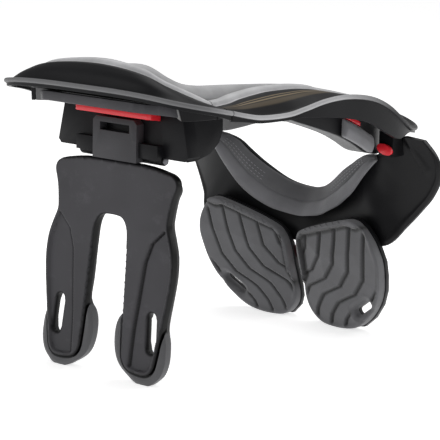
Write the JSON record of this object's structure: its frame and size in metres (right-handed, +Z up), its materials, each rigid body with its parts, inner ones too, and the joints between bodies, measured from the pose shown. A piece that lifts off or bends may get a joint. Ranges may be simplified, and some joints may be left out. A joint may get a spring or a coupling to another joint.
{
  "type": "motocross neck brace",
  "caption": "Rigid neck collar with a padded rim, a forked back strut that folds, and ribbed chest pads under a padded front frame; the ring opens at the shoulder.",
  "frame": {"origin": "on the floor, midway between the strut tips and the chest pads, under the middle of the collar", "axes": "+X the wearer's right, +Y the wearer's front, +Z up"},
  "size_m": [0.256, 0.293, 0.2325],
  "materials": {
    "black_plastic": "satin moulded composite",
    "charcoal_plastic": "satin moulded nylon",
    "grey_foam": "matte moulded EVA foam",
    "dark_foam": "matte moulded EVA foam",
    "red_plastic": "gloss moulded plastic",
    "steel": "plain pin stock"
  },
  "bodies": {
    "rear_collar": {"rear_deck": "black_plastic", "rear_deck_pad": "grey_foam", "rear_base_plate": "charcoal_plastic", "lock_plate": "red_plastic", "rear_frame": "black_plastic", "strut_pin": "steel", "shoulder_pin": "steel"},
    "front_collar": {"front_deck": "black_plastic", "front_deck_pad": "grey_foam", "lower_front_frame": "black_plastic", "neck_lining": "grey_foam", "right_chest_plate": "black_plastic", "right_chest_pad": "grey_foam", "right_shoulder_pad": "grey_foam", "right_red_pin": "red_plastic", "right_red_strip": "red_plastic", "left_chest_plate": "black_plastic", "left_chest_pad": "grey_foam", "left_shoulder_pad": "grey_foam", "left_red_pin": "red_plastic", "left_red_strip": "red_plastic", "sternum_link": "red_plastic"},
    "back_strut": {"strut_clip": "black_plastic", "strut_plate": "charcoal_plastic", "strut_pad": "dark_foam"}
  },
  "joints": [
    {"name": "collar_open", "type": "hinge", "parent": "rear_collar", "child": "front_collar", "pos_m": [-0.1035, -0.0925, 0.2], "axis": [0, 0, 1], "range_deg": [0, 60]},
    {"name": "strut_fold", "type": "hinge", "parent": "rear_collar", "child": "back_strut", "pos_m": [0, -0.098, 0.1605], "axis": [1, 0, 0], "range_deg": [0, 75]}
  ]
}
